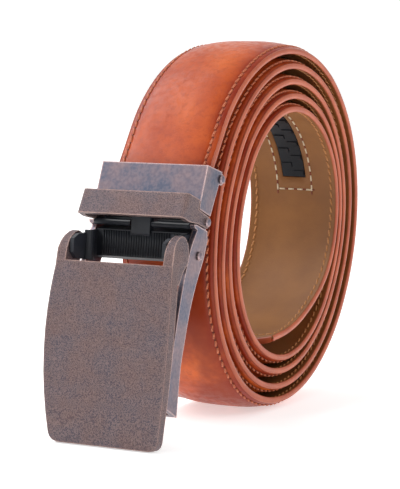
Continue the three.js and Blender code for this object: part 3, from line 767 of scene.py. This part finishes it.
# %% Stitches along both edges
stitch_pitch = 3.0 * mm
first_stitch = 14.5 * mm
tip_margin = 5.5 * mm
stitch_end = strap_length - tip_margin
stitch_starts = np.arange(first_stitch, stitch_end, stitch_pitch)
end_row = np.arange(-stitch_line + stitch_pitch, stitch_line - stitch_pitch / 2, stitch_pitch)
face_thread = {"face": outer_face, "lift": -0.06 * mm, "length": 2.2 * mm, "radius": 0.4 * mm}
face_hole = {"face": outer_face, "lift": -0.42 * mm, "length": 0.9 * mm, "radius": 0.45 * mm}
back_thread = {"face": lining_face, "lift": 0.05 * mm, "length": 2.3 * mm, "radius": 0.38 * mm}


def face_stitches():
    bm = bmesh.new()
    for side in (-1, 1):
        for start in stitch_starts:
            lay_stitch(bm, side * stitch_line, start, **face_thread, lean=0.2 * side)
    return wind_piece(bm, "face_stitches", tonal_thread)


def stitch_holes():
    """A pit between each two threads, dark with painted shade."""
    bm = bmesh.new()
    for side in (-1, 1):
        for start in stitch_starts + stitch_pitch / 2:
            lay_stitch(bm, side * stitch_line, start, **face_hole)
    return wind_piece(bm, "stitch_holes", hole_shade)


def lining_stitches():
    """Two rows along the lining, joined by one across it near the free end."""
    bm = bmesh.new()
    for side in (-1, 1):
        for start in stitch_starts:
            lay_stitch(bm, side * stitch_line, start, **back_thread, lean=0.25 * side)
    for across in end_row:
        lay_stitch(bm, across, stitch_end, **back_thread, crosswise=True)
    return wind_piece(bm, "lining_stitches", tan_thread)


face_stitches()
stitch_holes()
lining_stitches()


# %% [markdown]
# ## Stitching round the track
# A cream thread holds the track, in a long rectangle round its window. It is lighter than all other
# thread on the belt, and its holes show as dots of painted shade. One function lays threads and holes
# alike, from the same list of places.

# %% Cream stitching round the track
window_pitch = 3.8 * mm
window_line = 7.3 * mm
window_end_gap = 4.6 * mm
window_low = window[0] - window_end_gap
window_high = window[1] + window_end_gap


def window_places():
    """Where the stitches round the window lie, as (across, along, whether it runs across)."""
    for start in np.arange(window_low + window_pitch / 2, window_high, window_pitch):
        for side in (-1, 1):
            yield side * window_line, start, False
    for end in (window_low, window_high):
        for across in np.arange(-window_line + window_pitch / 2, window_line, window_pitch):
            yield across, end, True


def window_marks(name, material, length, radius, shift, lift):
    bm = bmesh.new()
    for across, along, crosswise in window_places():
        across, along = (across + shift, along) if crosswise else (across, along + shift)
        lay_stitch(bm, across, along, lining_face, lift, length, radius, crosswise=crosswise)
    return wind_piece(bm, name, material)


# the holes round the track are dark with painted shade
window_marks("track_stitch_holes", hole_shade, length=1.4 * mm, radius=0.32 * mm,
             shift=window_pitch / 2, lift=0.1 * mm)
window_marks("track_stitches", cream_thread, length=2.2 * mm, radius=0.32 * mm, shift=0.0, lift=0.0)

# %% [markdown]
# ## Ribbed block
# The black block between the cover's ears has fine upright ribs. A bump could draw them, but a
# visible shape should come from geometry. Each rib is a narrow cylinder, partly sunk in the block's
# front face, and rides on the same body as the block.

# %% Block ribs
pin_low, pin_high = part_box("lever_pin")
lever = (pin_low + pin_high) / 2
tilt = math.radians(7.5)
rib_radius, rib_length = 0.38 * mm, 8.6 * mm
rib_forward, rib_rise = 3.6 * mm, 2.7 * mm


def block_ribs():
    bm = bmesh.new()
    cover_out = Vector((0, -math.cos(tilt), math.sin(tilt)))
    cover_up = Vector((0, math.sin(tilt), math.cos(tilt)))
    for x in np.arange(-15, 15.5, 1.0) * mm:
        made = bmesh.ops.create_cone(bm, cap_ends=True, segments=8, radius1=rib_radius,
                                     radius2=rib_radius, depth=rib_length)
        for vert in made["verts"]:
            cx, cy, cz = vert.co
            place = lever + Vector((x + cx, 0, 0)) + cover_out * (rib_forward + cy)
            vert.co = place + cover_up * (rib_rise + cz)
    return make_piece(bm, "block_ribs", black_metal, "lever")


block_ribs()

# %% [markdown]
# ## Floor and light
# The belt stands on a white floor in a bright white room, the pale look of a product photograph.
# Behind the belt the world is brightest, so the backdrop turns white there. Three soft lights shape
# the belt: a key above and to the left for the sheen on the coil's top, a weaker fill in front, and
# one on the right for the buckle's side. The Standard view keeps the white of the backdrop.

# %% Floor
floor_reach = 4
bm = bmesh.new()
bmesh.ops.create_grid(bm, x_segments=1, y_segments=1, size=floor_reach)
floor_mesh = bpy.data.meshes.new("floor")
bm.to_mesh(floor_mesh)
bm.free()
floor = bpy.data.objects.new("floor", floor_mesh)
bpy.context.scene.collection.objects.link(floor)
floor_material, floor_tree, floor_surface = new_material("floor", 0.9)
floor_surface.inputs["Base Color"].default_value = (0.93, 0.93, 0.93, 1)
floor_surface.inputs["Specular IOR Level"].default_value = 0.1
floor_surface.inputs["Emission Color"].default_value = (1, 1, 1, 1)
floor_surface.inputs["Emission Strength"].default_value = 0.5
floor_mesh.materials.append(floor_material)


# %% Lights
aim = Vector((0, 0, 60 * mm))


def soft_light(name, place, size, power):
    light = bpy.data.lights.new(name, "AREA")
    light.shape = "RECTANGLE"
    light.size, light.size_y = size
    light.energy = power
    lamp = bpy.data.objects.new(name, light)
    bpy.context.scene.collection.objects.link(lamp)
    lamp.location = place
    lamp.rotation_mode = "QUATERNION"
    lamp.rotation_quaternion = (aim - Vector(place)).to_track_quat("-Z", "Y")


soft_light("key", (-0.9, -0.05, 0.9), (1.0, 1.0), 9)
soft_light("fill", (-0.6, -0.65, 0.9), (1.2, 1.2), 4)
soft_light("side", (1.0, 0.2, 0.6), (0.6, 0.6), 3)

# %% The room
world = bpy.data.worlds.new("studio")
world.use_nodes = True
studio = world.node_tree
direction = add(studio, "ShaderNodeTexCoord", (-600, 0)).outputs["Generated"]
facing = add(studio, "ShaderNodeVectorMath", (-400, 0), operation="DOT_PRODUCT")
studio.links.new(direction, facing.inputs[0])
facing.inputs[1].default_value = toward
backdrop = put(add(studio, "ShaderNodeMapRange", (-200, 0)),
               From_Min=0.5, From_Max=0.95, To_Min=0.5, To_Max=1.1)
studio.links.new(facing.outputs["Value"], backdrop.inputs["Value"])
background = studio.nodes["Background"]
background.inputs["Color"].default_value = (1, 1, 1, 1)
studio.links.new(backdrop.outputs["Result"], background.inputs["Strength"])
bpy.context.scene.world = world
bpy.context.scene.view_settings.view_transform = "Standard"
